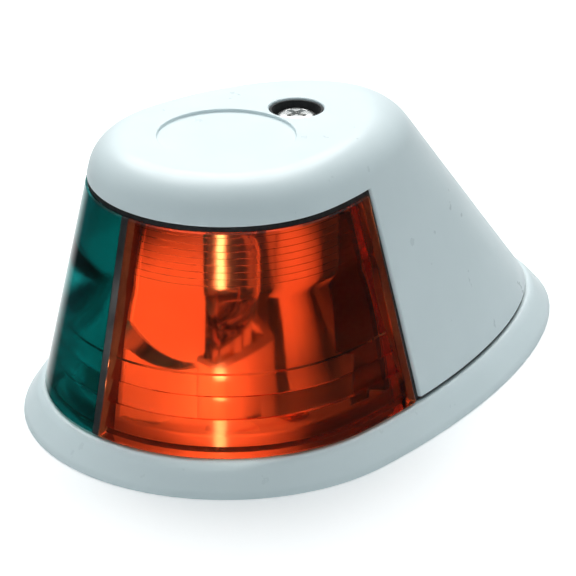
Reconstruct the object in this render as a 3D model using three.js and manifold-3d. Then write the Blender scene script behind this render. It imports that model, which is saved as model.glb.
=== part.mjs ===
// Bow navigation light for a small boat: a red and a green sector lens in one white housing.
//
// Millimetres, +Z up. The boat's bow is towards -Y, port (red) is +X and starboard (green) is -X.
// The part is modelled about the lamp axis, the upright line through the bulb, and the whole
// group is then moved so that the origin is at the middle of the footprint on the deck.
// Seen from above, the housing is a circle ahead of the lamp axis and a long egg's tail behind it.

import * as THREE from 'three';
import { mergeVertices } from 'three/addons/utils/BufferGeometryUtils.js';
import Module from 'manifold-3d';

const wasm = await Module();
wasm.setup();

// Housing, outside
const LENGTH = 100;
const BASE_RADIUS = 31.1; // half the width of the flange at the deck
const LEDGE = 4.6; // top face of the flange
const TOP = 43.8; // flat top of the cover
const WALL_RADIUS = 27.8; // radius of the housing wall about the lamp axis, at the ledge
const DRAFT = 0.218; // radius lost per millimetre of height
const CAP_FILLET = 5.8; // rounding between the wall and the flat top
const TAIL_AT_DECK = LENGTH - 2 * BASE_RADIUS; // how much further the egg reaches aft than forward
const TAIL_AT_LEDGE = 36.3;
const TAIL_FALL = 0.626; // tail lost per millimetre of height
const TAIL_POWER = 1.89; // 2 would make the tail half an ellipse
const CROWN_RADIUS = 14; // inside this radius the tail shrinks in step with the radius
const SEGMENTS = 56;
const AFT_SHIFT = TAIL_AT_DECK / 2; // lamp axis to the middle of the footprint

// Walls and the gaps between pieces
const WALL = 2;
const GAP = 0.3;
const FAR = 150; // reach of a cutting tool that must pass right through

// Base
const FLOOR_TOP = 4;
const FLOOR_UNDER = 2.2;
const SKIRT_INNER = 26.4;
const FLANGE_TOP_RADIUS = 28.1;
const SEAL_GROOVE = { inner: 24.2, outer: 26.7, depth: 1.2 };
const LOCATING_RIB = { inner: 21.3, outer: 23.1, top: 6.8 };
const DECK_HOLES = [[10, -9.5], [-10, -9.5], [0, 46]]; // for No. 6 countersunk screws
const DECK_HOLE_RADIUS = 2.1;
const COUNTERSINK_RADIUS = 3.9;

// Cover screw, its pocket in the cover and its post on the base
const SCREW_Y = 14.9;
const POCKET = { radius: 4.1, floor: 39.4 };
const BOSS = { radius: 5.6, bottom: 37.6 };
const COVER_HOLE_RADIUS = 2.1;
const POST = { topRadius: 3.2, bottomRadius: 3.9, top: 37.2 };
const SCREW_RADIUS = 1.75;
const SCREW_LENGTH = 12.7;
const SCREW_HEAD = { radius: 3.45, bottom: 40.9, height: 2.05 };
const PILOT = { radius: 2.05, bottom: 24 };
const WASHER = { inner: 2.05, outer: 3.6, bottom: 40.4, thick: 0.45 };
const SEAL_CUP = { bore: 2.05, inner: 3.68, outer: 4, bottom: 39.45, floor: 40.35, top: 43.5 };
const BADGE = { radius: 10.2, depth: 0.5 };

// Lens and the window that it fills: angles are from dead ahead, in degrees
const LENS_FOOT = LEDGE + GAP;
const LENS_TOP = 37;
const CAP_RIM = 37.8;
const TONGUE_TOP = 39.2;
const PANE_THICK = 2.6;
const TONGUE = { outer: WALL + GAP, inner: 3.6, border: 2 };
const PANE_EDGE = 114.6;
const SEAL_EDGE = [114.9, 116.4];
const WINDOW_EDGE = 116.8;
const TONGUE_EDGE = [112, 121];
const DIVIDER = { half: 0.55, deep: 3.6 };
const LENS_HALF_GAP = 0.7; // from the centre plane to the edge of each lens

// Screens inside
const BAFFLE = { half: 0.6, clear: 4.7, aftY: -7, bottom: 4.3, top: 36, closeY: -5.4, closeBottom: 11.8 };
const UPPER_ARC = { y: -2, z: 30.6, radius: 20 };
const LOWER_ARC = { y: -4, z: 34.4, radius: 24 };
const SCREEN = { angle: 113, inner: 16.5, legInner: 18.8, footOuter: 21, thick: 1, flapBottom: 13, top: 34.5 };

// Wedge bulb, its holder and its contacts
const HOLDER = { x: 8.6, y: 12.8, corner: 1.6, top: 11, slotX: 5.2, slotY: 10.2 };
const GLASS = { radius: 4.7, wall: 0.6, neck: 11.8, shoulder: 14.6, straightTop: 27.2 };
const WEDGE = { x: 2.4, y: 9.2, bottom: 5.5, top: 13 };
const LEAD = { radius: 0.22, y: 2.4, out: 1.6, foldTop: 8.6, turn: 5.35, top: 21, hole: 0.5 };
const FILAMENT_RADIUS = 0.35;
const STRIP = { leafX: 2, thick: 0.4, leafTop: 10.4, footEnd: 14.2, width: 3.6 };
const RIVET = { x: 12, shank: 1.1, head: 2.1, hole: 1.4 };
const BLADE = { width: 6.3, thick: 0.8, foreY: -3.2, aftY: 13, top: 2.15, holeY: 9.5, hole: 0.85 };

// Seals
const GASKET = { inner: 21.5, outer: 26, bottom: 0.05, top: 1.95 };
const FOOT_SEAL = { inner: 24.5, outer: 26.4, bottom: 3.45, top: 4.55 };

const MERGE_DISTANCE = 1e-4;

// ---------------------------------------------------------------- geometry to solids and back

function signedVolume(position, index) {
  const [a, b, c] = [new THREE.Vector3(), new THREE.Vector3(), new THREE.Vector3()];
  let sum = 0;
  for (let i = 0; i < index.length; i += 3) {
    a.fromArray(position, 3 * index[i]);
    b.fromArray(position, 3 * index[i + 1]);
    c.fromArray(position, 3 * index[i + 2]);
    sum += a.dot(b.cross(c));
  }
  return sum / 6;
}

/** A closed geometry as a manifold-3d solid with its faces pointing out. */
function solid(geometry) {
  const bare = geometry.clone();
  bare.deleteAttribute('normal');
  bare.deleteAttribute('uv');
  const merged = mergeVertices(bare, MERGE_DISTANCE);
  const position = new Float32Array(merged.attributes.position.array);
  const index = [];
  for (let i = 0; i < merged.index.count; i += 3) {
    const [a, b, c] = [0, 1, 2].map((k) => merged.index.getX(i + k));
    if (a !== b && b !== c && c !== a) index.push(a, b, c);
  }
  if (signedVolume(position, index) < 0) index.reverse();
  const triVerts = new Uint32Array(index);
  return new wasm.Manifold(new wasm.Mesh({ numProp: 3, vertProperties: position, triVerts }));
}

function geometryOf(body) {
  const mesh = body.getMesh();
  const geometry = new THREE.BufferGeometry();
  geometry.setAttribute('position', new THREE.BufferAttribute(mesh.vertProperties, 3));
  geometry.setIndex(new THREE.BufferAttribute(mesh.triVerts, 1));
  geometry.computeVertexNormals();
  return geometry;
}

function mirrored(body) {
  return solid(geometryOf(body).scale(-1, 1, 1));
}

// ---------------------------------------------------------------- basic shapes

function lathe(points, segments) {
  const profile = points.map(([radius, z]) => new THREE.Vector2(radius, z));
  return new THREE.LatheGeometry(profile, segments).rotateX(Math.PI / 2);
}

/** A ring profile ends where it starts, so that its lathe is closed. */
function ringPoints(inner, outer, bottom, top) {
  return [[inner, bottom], [outer, bottom], [outer, top], [inner, top], [inner, bottom]];
}

function ring(inner, outer, bottom, top, segments = 32) {
  return solid(lathe(ringPoints(inner, outer, bottom, top), segments));
}

function cylinder(x, y, radius, bottom, top, segments = 24, topRadius = radius) {
  const geometry = new THREE.CylinderGeometry(topRadius, radius, top - bottom, segments);
  return solid(geometry.rotateX(Math.PI / 2).translate(x, y, (top + bottom) / 2));
}

function box([x0, x1], [y0, y1], [z0, z1]) {
  const geometry = new THREE.BoxGeometry(x1 - x0, y1 - y0, z1 - z0);
  return solid(geometry.translate((x0 + x1) / 2, (y0 + y1) / 2, (z0 + z1) / 2));
}

function prism(shape, bottom, top) {
  const options = { depth: top - bottom, bevelEnabled: false, curveSegments: 8 };
  return solid(new THREE.ExtrudeGeometry(shape, options).translate(0, 0, bottom));
}

/** A disc standing across the X axis, used to cut arcs in an upright plate. */
function crossDisc(y, z, radius, half) {
  const geometry = new THREE.CylinderGeometry(radius, radius, 2 * half, 48);
  return solid(geometry.rotateZ(Math.PI / 2).translate(0, y, z));
}

/** A slice of pie about the lamp axis, from -degrees to +degrees off dead ahead. */
function wedge(degrees, bottom, top) {
  const steps = 8;
  const shape = new THREE.Shape();
  shape.moveTo(0, 0);
  for (let i = 0; i <= steps; i += 1) {
    const angle = THREE.MathUtils.degToRad(degrees * ((2 * i) / steps - 1));
    shape.lineTo(FAR * Math.sin(angle), -FAR * Math.cos(angle));
  }
  shape.closePath();
  return prism(shape, bottom, top);
}

// ---------------------------------------------------------------- the egg-shaped housing

function tailAt(z) {
  if (z < LEDGE) return THREE.MathUtils.lerp(TAIL_AT_DECK, TAIL_AT_LEDGE, z / LEDGE);
  return TAIL_AT_LEDGE - TAIL_FALL * (z - LEDGE);
}

/** Draws the half of a lathe that lies behind the lamp axis out into the egg's tail. */
function drawTail(geometry) {
  const position = geometry.attributes.position;
  for (let i = 0; i < position.count; i += 1) {
    const [x, y, z] = [position.getX(i), position.getY(i), position.getZ(i)];
    const radius = Math.hypot(x, y);
    if (y > MERGE_DISTANCE && radius > MERGE_DISTANCE) {
      const tail = tailAt(z) * Math.min(1, radius / CROWN_RADIUS);
      const side = Math.abs(x) / radius;
      const aft = y / radius;
      position.setX(i, Math.sign(x) * radius * side ** (2 / TAIL_POWER));
      position.setY(i, (radius + tail) * aft ** (2 / TAIL_POWER));
    }
  }
  return geometry;
}

function eggSolid(points) {
  return solid(drawTail(lathe(points, SEGMENTS)));
}

const DRAFT_ANGLE = Math.atan(DRAFT);

/** Radius of the housing wall at a height, a distance inside its outer face. */
function wallRadius(z, inset) {
  return WALL_RADIUS - DRAFT * (z - LEDGE) - inset / Math.cos(DRAFT_ANGLE);
}

/** The whole housing's outer form, shrunk by an inset, from a height upwards. */
function housing(inset, bottom) {
  const centreZ = TOP - CAP_FILLET;
  const centreRadius = wallRadius(centreZ, CAP_FILLET);
  const fillet = CAP_FILLET - inset;
  const steps = 6;
  const points = [[0, bottom], [wallRadius(bottom, inset), bottom]];
  if (bottom < LEDGE) points.push([wallRadius(LEDGE, inset), LEDGE]);
  for (let i = 0; i <= steps; i += 1) {
    const angle = THREE.MathUtils.lerp(DRAFT_ANGLE, Math.PI / 2, i / steps);
    points.push([centreRadius + fillet * Math.cos(angle), centreZ + fillet * Math.sin(angle)]);
  }
  points.push([0, TOP - inset]);
  return eggSolid(points);
}

/** A band of the housing wall between two insets and two heights. */
function wallBand(outer, inner, bottom, top) {
  return eggSolid([
    [wallRadius(bottom, inner), bottom],
    [wallRadius(bottom, outer), bottom],
    [wallRadius(top, outer), top],
    [wallRadius(top, inner), top],
    [wallRadius(bottom, inner), bottom],
  ]);
}

// ---------------------------------------------------------------- base

function baseFlange() {
  const groove = LEDGE - SEAL_GROOVE.depth;
  return eggSolid([
    [0, FLOOR_UNDER],
    [SKIRT_INNER, FLOOR_UNDER],
    [SKIRT_INNER, 0],
    [BASE_RADIUS, 0],
    [BASE_RADIUS, 0.5],
    [30.7, 1.3],
    [28.75, 4.1],
    [28.5, 4.45],
    [FLANGE_TOP_RADIUS, LEDGE],
    [SEAL_GROOVE.outer, LEDGE],
    [SEAL_GROOVE.outer, groove],
    [SEAL_GROOVE.inner, groove],
    [SEAL_GROOVE.inner, LEDGE],
    [LOCATING_RIB.outer, LEDGE],
    [LOCATING_RIB.outer, LOCATING_RIB.top],
    [LOCATING_RIB.inner, LOCATING_RIB.top],
    [LOCATING_RIB.inner, FLOOR_TOP],
    [0, FLOOR_TOP],
  ]);
}

function screwPost() {
  const root = FLOOR_UNDER + 0.5;
  const { topRadius, bottomRadius, top } = POST;
  const column = cylinder(0, SCREW_Y, bottomRadius, root, top, 28, topRadius);
  const web = box([-0.6, 0.6], [SCREW_Y, SCREW_Y + 14], [root, 13]);
  return column.add(web).subtract(cylinder(0, SCREW_Y, PILOT.radius, PILOT.bottom, top + 1));
}

/** The part of the centre baffle that is moulded on the base. */
function lowerBaffle() {
  const { half, clear, aftY } = BAFFLE;
  const plate = box([-half, half], [-FAR, aftY], [FLOOR_UNDER + 0.5, 20]);
  const disc = crossDisc(LOWER_ARC.y, LOWER_ARC.z, LOWER_ARC.radius, 2);
  return plate.subtract(disc).intersect(housing(clear, 0));
}

function deckHole([x, y]) {
  const through = cylinder(x, y, DECK_HOLE_RADIUS, 0, LEDGE + 1);
  const sink = cylinder(x, y, DECK_HOLE_RADIUS, FLOOR_UNDER, FLOOR_TOP, 24, COUNTERSINK_RADIUS);
  return through.add(sink);
}

function base() {
  let body = baseFlange().add(screwPost()).add(lowerBaffle());
  for (const hole of DECK_HOLES) body = body.subtract(deckHole(hole));
  for (const side of [1, -1]) {
    body = body.subtract(cylinder(side * RIVET.x, 0, RIVET.hole, 0, LEDGE + 1));
  }
  return body;
}

function eggRing({ inner, outer, bottom, top }) {
  return eggSolid(ringPoints(inner, outer, bottom, top));
}

/** An upright black plate behind one edge of the lens, which ends that lens's arc of light. */
function cutoffScreen() {
  const angle = THREE.MathUtils.degToRad(SCREEN.angle - 90);
  const reach = (from, to, bottom, top) => {
    const geometry = new THREE.BoxGeometry(to - from, SCREEN.thick, top - bottom);
    return solid(geometry.translate((from + to) / 2, 0, (bottom + top) / 2).rotateZ(angle));
  };
  const foot = reach(SCREEN.legInner, SCREEN.footOuter, FLOOR_TOP + 0.05, 8);
  const leg = reach(SCREEN.legInner, BASE_RADIUS, LOCATING_RIB.top + GAP, SCREEN.top);
  const flap = reach(SCREEN.inner, BASE_RADIUS, SCREEN.flapBottom, SCREEN.top);
  return foot.add(leg).add(flap).intersect(housing(TONGUE.inner + 0.8, 0));
}

// ---------------------------------------------------------------- cover and its screw

function cover() {
  const shell = housing(0, LENS_FOOT).subtract(housing(WALL, LEDGE - 2));
  const boss = cylinder(0, SCREW_Y, BOSS.radius, BOSS.bottom, TOP - WALL / 2, 32);
  return shell
    .add(boss)
    .subtract(wedge(WINDOW_EDGE, 0, CAP_RIM))
    .subtract(cylinder(0, SCREW_Y, POCKET.radius, POCKET.floor, TOP + 1, 32))
    .subtract(cylinder(0, SCREW_Y, COVER_HOLE_RADIUS, BOSS.bottom - 1, TOP))
    .subtract(cylinder(0, 0, BADGE.radius, TOP - BADGE.depth, TOP + 1, 48));
}

function coverScrew() {
  const { radius, bottom, height } = SCREW_HEAD;
  const tip = bottom - SCREW_LENGTH;
  const body = solid(lathe([
    [0, tip],
    [0.5, tip + 0.3],
    [SCREW_RADIUS, tip + 2.4],
    [SCREW_RADIUS, bottom],
    [radius, bottom],
    [radius, bottom + 0.35 * height],
    [0.9 * radius, bottom + 0.7 * height],
    [0.65 * radius, bottom + 0.95 * height],
    [0, bottom + height],
  ], 28));
  const slot = [bottom + 0.35 * height, bottom + height + 1];
  const [long, thin] = [[-2, 2], [-0.45, 0.45]];
  const cross = box(long, thin, slot).add(box(thin, long, slot));
  return solid(geometryOf(body.subtract(cross)).translate(0, SCREW_Y, 0));
}

/** A rubber cup round the screw head, which seals against the pocket's floor and wall. */
function screwSealCup() {
  const { bore, inner, outer, bottom, floor, top } = SEAL_CUP;
  const wall = ring(inner, outer, bottom, top);
  const disc = ring(bore, inner + 0.1, bottom, floor);
  return solid(geometryOf(wall.add(disc)).translate(0, SCREW_Y, 0));
}

function washer() {
  const { inner, outer, bottom, thick } = WASHER;
  return solid(geometryOf(ring(inner, outer, bottom, bottom + thick)).translate(0, SCREW_Y, 0));
}

// ---------------------------------------------------------------- lenses

/** The port lens: a drafted pane with a tongue that tucks in behind the cover. */
function portLens() {
  const [tongueFore, tongueAft] = TONGUE_EDGE;
  const { outer, inner, border } = TONGUE;
  const pane = wallBand(0.05, PANE_THICK, LENS_FOOT, LENS_TOP).intersect(wedge(PANE_EDGE, 0, TOP));
  const fullBand = wallBand(outer, inner, LENS_FOOT, TONGUE_TOP).intersect(wedge(tongueAft, 0, TOP));
  const tongue = fullBand.subtract(wedge(tongueFore, 0, LENS_TOP - border));
  return pane.add(tongue).intersect(box([LENS_HALF_GAP, FAR], [-FAR, FAR], [0, TOP]));
}

function lensDivider() {
  const slab = box([-DIVIDER.half, DIVIDER.half], [-FAR, 0], [0, TOP]);
  return wallBand(0.05, DIVIDER.deep, LENS_FOOT, LENS_TOP).intersect(slab);
}

/** A rubber strip that frames the lens on its top and its two aft edges. */
function lensSeal() {
  const [inside, outside] = SEAL_EDGE;
  const band = wallBand(0.35, TONGUE.outer - 0.2, LENS_FOOT + 0.2, CAP_RIM - 0.1);
  const pane = wedge(inside, 0, LENS_TOP + 0.1);
  return band.intersect(wedge(outside, 0, TOP)).subtract(pane);
}

/** The part of the centre baffle that hangs between the two lenses. */
function sectorBaffle() {
  const { half, clear, aftY, bottom, top, closeY, closeBottom } = BAFFLE;
  const besideHolder = box([-half, half], [-FAR, aftY], [bottom, top]);
  const besideBulb = box([-half, half], [-FAR, closeY], [closeBottom, top]);
  const plate = besideHolder.add(besideBulb).intersect(housing(clear, 0));
  return plate.intersect(crossDisc(UPPER_ARC.y, UPPER_ARC.z, UPPER_ARC.radius, 2));
}

// ---------------------------------------------------------------- bulb and its contacts

function roundedRectangle(width, height, corner) {
  const [x, y] = [width / 2, height / 2];
  const shape = new THREE.Shape();
  shape.absarc(x - corner, y - corner, corner, 0, Math.PI / 2);
  shape.absarc(corner - x, y - corner, corner, Math.PI / 2, Math.PI);
  shape.absarc(corner - x, corner - y, corner, Math.PI, 1.5 * Math.PI);
  shape.absarc(x - corner, corner - y, corner, 1.5 * Math.PI, 2 * Math.PI);
  shape.closePath();
  return shape;
}

function bulbHolder() {
  const { x, y, corner, top, slotX, slotY } = HOLDER;
  const bottom = FLOOR_TOP + 0.05;
  const notchHalf = STRIP.width / 2 + GAP;
  return prism(roundedRectangle(x, y, corner), bottom, top)
    .subtract(box([-slotX / 2, slotX / 2], [-slotY / 2, slotY / 2], [0, TOP]))
    .subtract(box([-x, x], [-notchHalf, notchHalf], [0, bottom + 0.85]));
}

/** Half an egg-cup profile: neck, shoulder, straight side and dome, from axis to axis. */
function envelopePoints(inset) {
  const { radius, neck, shoulder, straightTop } = GLASS;
  const side = radius - inset;
  const floor = neck + 3 * inset;
  const points = [[0, floor], [2.6 - inset, floor], [side - 0.7, shoulder - 1.6 + inset], [side, shoulder + inset]];
  const steps = 6;
  for (let i = 0; i <= steps; i += 1) {
    const angle = (Math.PI / 2) * (i / steps);
    points.push([side * Math.cos(angle), straightTop + (side - 0.3) * Math.sin(angle)]);
  }
  points[points.length - 1][0] = 0;
  return points;
}

function bulbGlass() {
  const foot = box([-WEDGE.x / 2, WEDGE.x / 2], [-WEDGE.y / 2, WEDGE.y / 2], [WEDGE.bottom, WEDGE.top]);
  let body = solid(lathe(envelopePoints(0), 32)).add(foot);
  body = body.subtract(solid(lathe(envelopePoints(GLASS.wall), 32)));
  for (const side of [1, -1]) {
    body = body.subtract(cylinder(0, side * LEAD.y, LEAD.hole, WEDGE.bottom - 1, GLASS.shoulder + 1, 12));
  }
  return body;
}

/** One lead wire: folded up the wedge's face, round its foot, and up inside the glass. */
function portLead() {
  const { radius, y, out, foldTop, turn, top } = LEAD;
  const at = (x, z) => new THREE.Vector3(x, y, z);
  const path = new THREE.CurvePath();
  path.add(new THREE.LineCurve3(at(out, foldTop), at(out, turn)));
  path.add(new THREE.CubicBezierCurve3(
    at(out, turn), at(out, turn - 0.67 * out), at(0, turn - 0.67 * out), at(0, turn)));
  path.add(new THREE.LineCurve3(at(0, turn), at(0, top)));
  const section = new THREE.Shape().absarc(0, 0, radius, 0, 2 * Math.PI);
  const options = { steps: 36, bevelEnabled: false, curveSegments: 6, extrudePath: path };
  return solid(new THREE.ExtrudeGeometry(section, options));
}

function filament() {
  const half = LEAD.y - LEAD.radius - 0.12;
  const geometry = new THREE.CylinderGeometry(FILAMENT_RADIUS, FILAMENT_RADIUS, 2 * half, 12);
  return solid(geometry.translate(0, 0, LEAD.top - FILAMENT_RADIUS));
}

/** A brass spring strip: a leaf beside the wedge and a foot along the floor. */
function portStrip() {
  const { leafX, thick, leafTop, footEnd, width } = STRIP;
  const bottom = FLOOR_TOP + 0.1;
  const shape = new THREE.Shape();
  shape.moveTo(leafX, bottom);
  shape.lineTo(footEnd, bottom);
  shape.lineTo(footEnd, bottom + thick);
  shape.lineTo(leafX + thick, bottom + thick);
  shape.lineTo(leafX + thick, leafTop - 0.8);
  shape.lineTo(leafX + thick + 0.1, leafTop);
  shape.lineTo(leafX + 0.15, leafTop);
  shape.lineTo(leafX, leafTop - 0.8);
  shape.closePath();
  const geometry = new THREE.ExtrudeGeometry(shape, { depth: width, bevelEnabled: false });
  const strip = solid(geometry.rotateX(Math.PI / 2).translate(0, width / 2, 0));
  return strip.subtract(cylinder(RIVET.x, 0, RIVET.hole, 0, LEDGE + 1));
}

function portRivet() {
  const { x, shank, head } = RIVET;
  const headBottom = FLOOR_TOP + 0.6;
  const points = [
    [0, 0.55], [head, 0.55], [head, 1.2], [shank, 1.2], [shank, headBottom], [head, headBottom],
    [0.9 * head, headBottom + 0.55], [0.5 * head, headBottom + 0.9], [0, headBottom + 1],
  ];
  return solid(lathe(points, 20).translate(x, 0, 0));
}

function portBlade() {
  const { width, thick, foreY, aftY, top, holeY, hole } = BLADE;
  const chamfer = 1.2;
  const [x0, x1] = [RIVET.x - width / 2, RIVET.x + width / 2];
  const shape = new THREE.Shape();
  shape.moveTo(x0, foreY);
  shape.lineTo(x1, foreY);
  shape.lineTo(x1, aftY - chamfer);
  shape.lineTo(x1 - chamfer, aftY);
  shape.lineTo(x0 + chamfer, aftY);
  shape.lineTo(x0, aftY - chamfer);
  shape.closePath();
  return prism(shape, top - thick, top)
    .subtract(cylinder(RIVET.x, 0, RIVET.hole, 0, LEDGE))
    .subtract(cylinder(RIVET.x, holeY, hole, 0, LEDGE, 16));
}

// ---------------------------------------------------------------- materials and assembly

function material(color, roughness, metalness = 0, opacity = 1) {
  return new THREE.MeshStandardMaterial({
    color, roughness, metalness, opacity, transparent: opacity < 1,
  });
}

const MATERIALS = {
  whitePlastic: () => material(0xe9eef0, 0.35),
  blackPlastic: () => material(0x141414, 0.6),
  rubber: () => material(0x1b1b1c, 0.85),
  redLens: () => material(0xd8321a, 0.08, 0, 0.75),
  greenLens: () => material(0x0a8a78, 0.08, 0, 0.75),
  clearGlass: () => material(0xf2f6f6, 0.03, 0, 0.3),
  steel: () => material(0xc9ccce, 0.25, 1),
  brass: () => material(0xc79a45, 0.3, 1),
  tungsten: () => material(0x5a5a5c, 0.45, 1),
};

const group = new THREE.Group();
group.position.y = -AFT_SHIFT;

function addPart(name, body, materialName) {
  const mesh = new THREE.Mesh(geometryOf(body), MATERIALS[materialName]());
  mesh.name = name;
  group.add(mesh);
}

/** Adds a piece made for port, and its mirror image for starboard. */
function addPair(name, portBody, materialName) {
  addPart(`${name}_port`, portBody, materialName);
  addPart(`${name}_stbd`, mirrored(portBody), materialName);
}

addPart('base', base(), 'whitePlastic');
addPart('base_gasket', eggRing(GASKET), 'rubber');
addPart('foot_seal', eggRing(FOOT_SEAL), 'rubber');
addPair('cutoff_screen', cutoffScreen(), 'blackPlastic');

addPart('cover', cover(), 'whitePlastic');
addPart('cover_screw', coverScrew(), 'steel');
addPart('cover_screw_washer', washer(), 'steel');
addPart('cover_screw_seal', screwSealCup(), 'rubber');

const redLens = portLens();
addPart('red_lens', redLens, 'redLens');
addPart('green_lens', mirrored(redLens), 'greenLens');
addPart('lens_divider', lensDivider(), 'blackPlastic');
addPart('lens_seal', lensSeal(), 'rubber');
addPart('sector_baffle', sectorBaffle(), 'whitePlastic');

addPart('bulb_holder', bulbHolder(), 'whitePlastic');
addPair('contact_strip', portStrip(), 'brass');
addPair('contact_rivet', portRivet(), 'brass');
addPair('blade_terminal', portBlade(), 'brass');
addPart('bulb_glass', bulbGlass(), 'clearGlass');
addPart('bulb_filament', filament(), 'tungsten');
const lead = portLead();
addPart('bulb_lead_fore', solid(geometryOf(lead).rotateZ(Math.PI)), 'steel');
addPart('bulb_lead_aft', lead, 'steel');

export default group;
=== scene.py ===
"""A small boat's bow navigation light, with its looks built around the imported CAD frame.

Helpers work in millimetres about the lamp axis, the upright line through the bulb, and place() turns
that into the row frame's metres. The bow is -Y, port (red) is +X. Bearings are degrees from the bow.
"""

import math

import bmesh
import bpy
from mathutils import Matrix, Vector


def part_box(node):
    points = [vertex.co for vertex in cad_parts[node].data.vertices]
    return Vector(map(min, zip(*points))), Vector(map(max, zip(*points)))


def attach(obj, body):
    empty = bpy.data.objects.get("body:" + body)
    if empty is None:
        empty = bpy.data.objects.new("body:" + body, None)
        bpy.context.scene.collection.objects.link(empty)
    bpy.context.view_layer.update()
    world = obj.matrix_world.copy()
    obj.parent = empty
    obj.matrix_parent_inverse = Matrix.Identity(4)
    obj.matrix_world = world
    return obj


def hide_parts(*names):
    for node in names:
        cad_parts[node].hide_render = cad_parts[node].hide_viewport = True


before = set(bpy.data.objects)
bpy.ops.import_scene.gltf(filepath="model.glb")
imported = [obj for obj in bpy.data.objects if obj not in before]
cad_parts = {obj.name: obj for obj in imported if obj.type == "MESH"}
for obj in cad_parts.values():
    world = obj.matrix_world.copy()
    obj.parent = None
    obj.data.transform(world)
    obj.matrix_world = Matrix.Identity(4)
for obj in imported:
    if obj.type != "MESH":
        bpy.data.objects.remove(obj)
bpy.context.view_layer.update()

MM = 0.001


def box_mm(node):
    """A CAD node's lowest and highest corners in millimetres of the row frame."""
    return [[value / MM for value in corner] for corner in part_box(node)]


def middle(node, axis):
    """The middle of a CAD node along one axis, in millimetres of the row frame."""
    low, high = box_mm(node)
    return (low[axis] + high[axis]) / 2


# ---------------------------------------------------------------- sizes from the frame
LAMP_Y = middle("bulb_glass", 1)
SCREW_Y = middle("cover_screw", 1) - LAMP_Y
TOP = box_mm("cover")[1][2]
LENS_FOOT = box_mm("cover")[0][2]
BASE_RADIUS = box_mm("base")[1][0]
LENGTH = box_mm("base")[1][1] - box_mm("base")[0][1]
LENS_TOP = box_mm("lens_divider")[1][2]
TONGUE_TOP = box_mm("red_lens")[1][2]

# ---------------------------------------------------------------- the housing's form, as in the CAD
LEDGE = 4.6
WALL_RADIUS = 27.8
DRAFT = 0.218
DRAFT_ANGLE = math.atan(DRAFT)
CAP_FILLET = 5.8
TAIL_AT_DECK = LENGTH - 2 * BASE_RADIUS
TAIL_AT_LEDGE = 36.3
TAIL_FALL = 0.626
TAIL_POWER = 1.89
CROWN_RADIUS = 14
WALL = 2
CAP_RIM = 37.8
WINDOW_EDGE = 116.8
SEAL_EDGE = (114.5, 116.4)
PANE_EDGE = 114.6
TONGUE = {"outer": 2.3, "inner": 3.6, "fore": 112, "aft": 121}
LENS_HALF_GAP = 0.7
DIVIDER = {"half": 0.72, "deep": 3.8}
FLOOR_TOP = 4
FLOOR_UNDER = 2.2
ROOT = 2.7
RIB = {"inner": 21.3, "outer": 23.1, "top": 6.8}
GROOVE = {"inner": 24.2, "outer": 26.7, "floor": 3.4}
POCKET = {"radius": 4.1, "floor": 39.4}
BOSS = {"radius": 5.6, "bottom": 37.6}
BADGE = {"radius": 10.2, "depth": 0.5}
POST = {"top_radius": 3.2, "bottom_radius": 3.9, "top": 37.2, "bore": 2.05, "bore_floor": 24}
DECK_HOLES = ((10, -9.5), (-10, -9.5), (0, 46))
DECK_HOLE = {"radius": 2.1, "sink": 3.9}
RIVET = {"x": 12, "shank": 1.1, "head": 2.1, "hole": 1.4}
BAFFLE = {"half": 0.6, "clear": 4.7, "aft": -7, "top": 36, "close": -5.4, "close_bottom": 11.8}
UPPER_ARC = {"y": -2, "z": 30.6, "radius": 20}
LOWER_ARC = {"y": -4, "z": 34.4, "radius": 24}
GLASS = {"radius": 4.7, "wall": 0.6, "pinch": 11.6, "shoulder": 14.8, "side_top": 27.2}
WEDGE = {"half_x": 1.2, "half_y": 4.6, "bottom": 5.5}
LEAD = {"radius": 0.22, "y": 2.4, "out": 1.6, "fold_top": 8.6, "turn": 5.35, "top": 21}
SCREW = {"radius": 1.75, "head": 3.45, "head_bottom": 40.9, "head_top": 42.95, "length": 12.7, "pitch": 1.27}

# ---------------------------------------------------------------- what only the looks have
FOOT_GAP = 0.28
CORNER_STEPS = 4
BEARING_STEP = 2.5
SHARP_ANGLE = 32

# ---------------------------------------------------------------- lens relief, seen from inside
RELIEF = {"wall": 2.6, "tilt": 0.216, "step": 0.12, "curve": 0.06}
UPPER_RIBS = {"top": 36.4, "bottom": 27.6, "count": 9}
BAND = {"top": 27.1, "bottom": 16.3, "bulge": 0.6, "inset": 2.42}
LOWER_PRISMS = (15.9, 13.1, 9.9, 5.9)

# ---------------------------------------------------------------- camera and light, row-frame millimetres
CAMERA_AT = (281.7, -304.2, 202.7)
CAMERA_AIM = (4.7, -10.8, 17.9)
CAMERA_LENS = 184.65
SOFTBOXES = {
    "overhead": {"at": (-240, 190, 540), "size": (620, 520), "power": 4.4, "colour": (1, 0.985, 0.97)},
    "back_panel": {"at": (-420, 450, 250), "size": (700, 360), "power": 0.3, "colour": (1, 0.99, 0.98)},
}
INSIDE_SPOTS = {
    "side_spot": {"at": (533, -314, 166), "power": 20, "cone": 2.9, "aim": (2, -32, 16)},
    "front_spot": {"at": (316, -567, 86), "power": 32, "cone": 2.75, "aim": (8, -33, 21)},
    "floor_spot": {"at": (375, -334, 406), "power": 26, "cone": 1.8, "aim": (11, -29, 7)},
}
SPOT_RADIUS = 3
SPOT_BLEND = 0.35
SPOT_COLOUR = (1, 0.97, 0.9)
STREAK = {"at": (366, -460, 309), "size": (28, 80), "power": 14, "colour": (1, 0.9, 0.62)}
STREAK_AIM = (16.6, -37.6, 20)
FLOOR_HALF = 1.6


# ================================================================ mesh helpers


def place(point):
    """A point about the lamp axis, in millimetres, as metres of the row frame."""
    x, y, z = point
    return (x * MM, (y + LAMP_Y) * MM, z * MM)


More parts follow.
